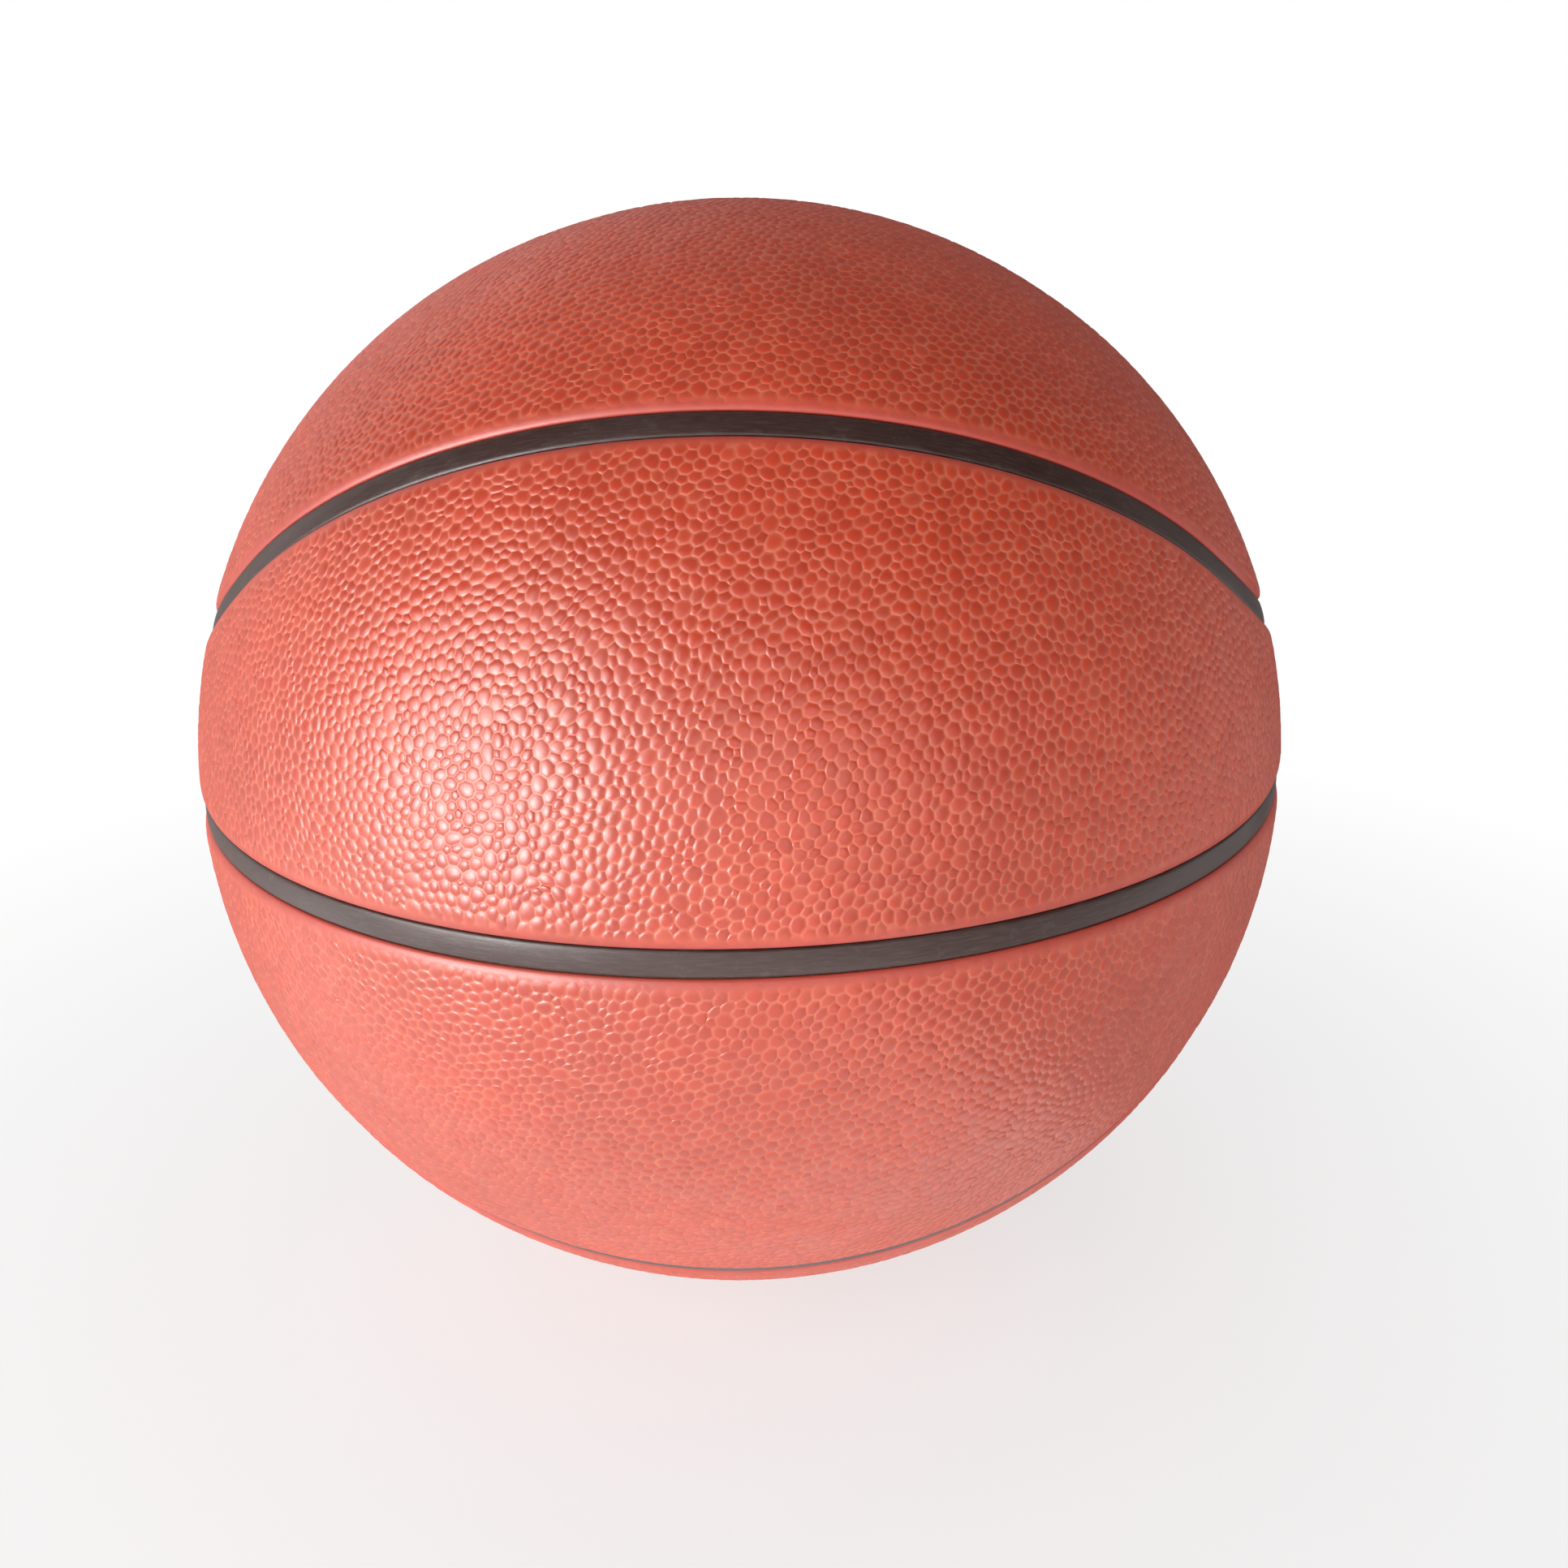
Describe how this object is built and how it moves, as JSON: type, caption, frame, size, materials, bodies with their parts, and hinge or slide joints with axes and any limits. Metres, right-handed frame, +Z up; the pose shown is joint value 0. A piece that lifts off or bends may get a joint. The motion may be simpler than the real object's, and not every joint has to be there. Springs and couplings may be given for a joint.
{
  "type": "basketball",
  "caption": "Inflated ball with pebbled leather-look cover panels set between recessed black rubber ribs over a wound air bladder, with a replaceable needle valve.",
  "frame": {"origin": "centre of the ball", "axes": "+X through a crossing of the two straight seams, +Y from front to back, +Z up through the middle of the oval seams; the valve is at the back, below the level seam"},
  "size_m": [0.2416, 0.2418, 0.2418],
  "materials": {
    "cover_leather": "pebbled, satin",
    "backing_foam": "matte foam",
    "carcass_rubber": "satin black",
    "winding_thread": "matte thread",
    "bladder_rubber": "satin",
    "valve_rubber": "satin",
    "core_rubber": "satin"
  },
  "bodies": {
    "ball": {"crown_panel_front_upper": "cover_leather", "crown_panel_front_lower": "cover_leather", "crown_panel_back_upper": "cover_leather", "crown_panel_back_lower": "cover_leather", "band_panel_front_upper": "cover_leather", "band_panel_front_lower": "cover_leather", "band_panel_back_upper": "cover_leather", "band_panel_back_lower": "cover_leather", "crown_foam_front_upper": "backing_foam", "crown_foam_front_lower": "backing_foam", "crown_foam_back_upper": "backing_foam", "crown_foam_back_lower": "backing_foam", "band_foam_front_upper": "backing_foam", "band_foam_front_lower": "backing_foam", "band_foam_back_upper": "backing_foam", "band_foam_back_lower": "backing_foam", "carcass": "carcass_rubber", "thread_winding": "winding_thread", "bladder": "bladder_rubber", "valve_boot": "valve_rubber"},
    "valve_core": {"valve_core": "core_rubber"}
  },
  "joints": [
    {"name": "valve_pull", "type": "slide", "parent": "ball", "child": "valve_core", "axis": [0, 0.9205, -0.3907], "range_m": [0, 0.02]}
  ]
}
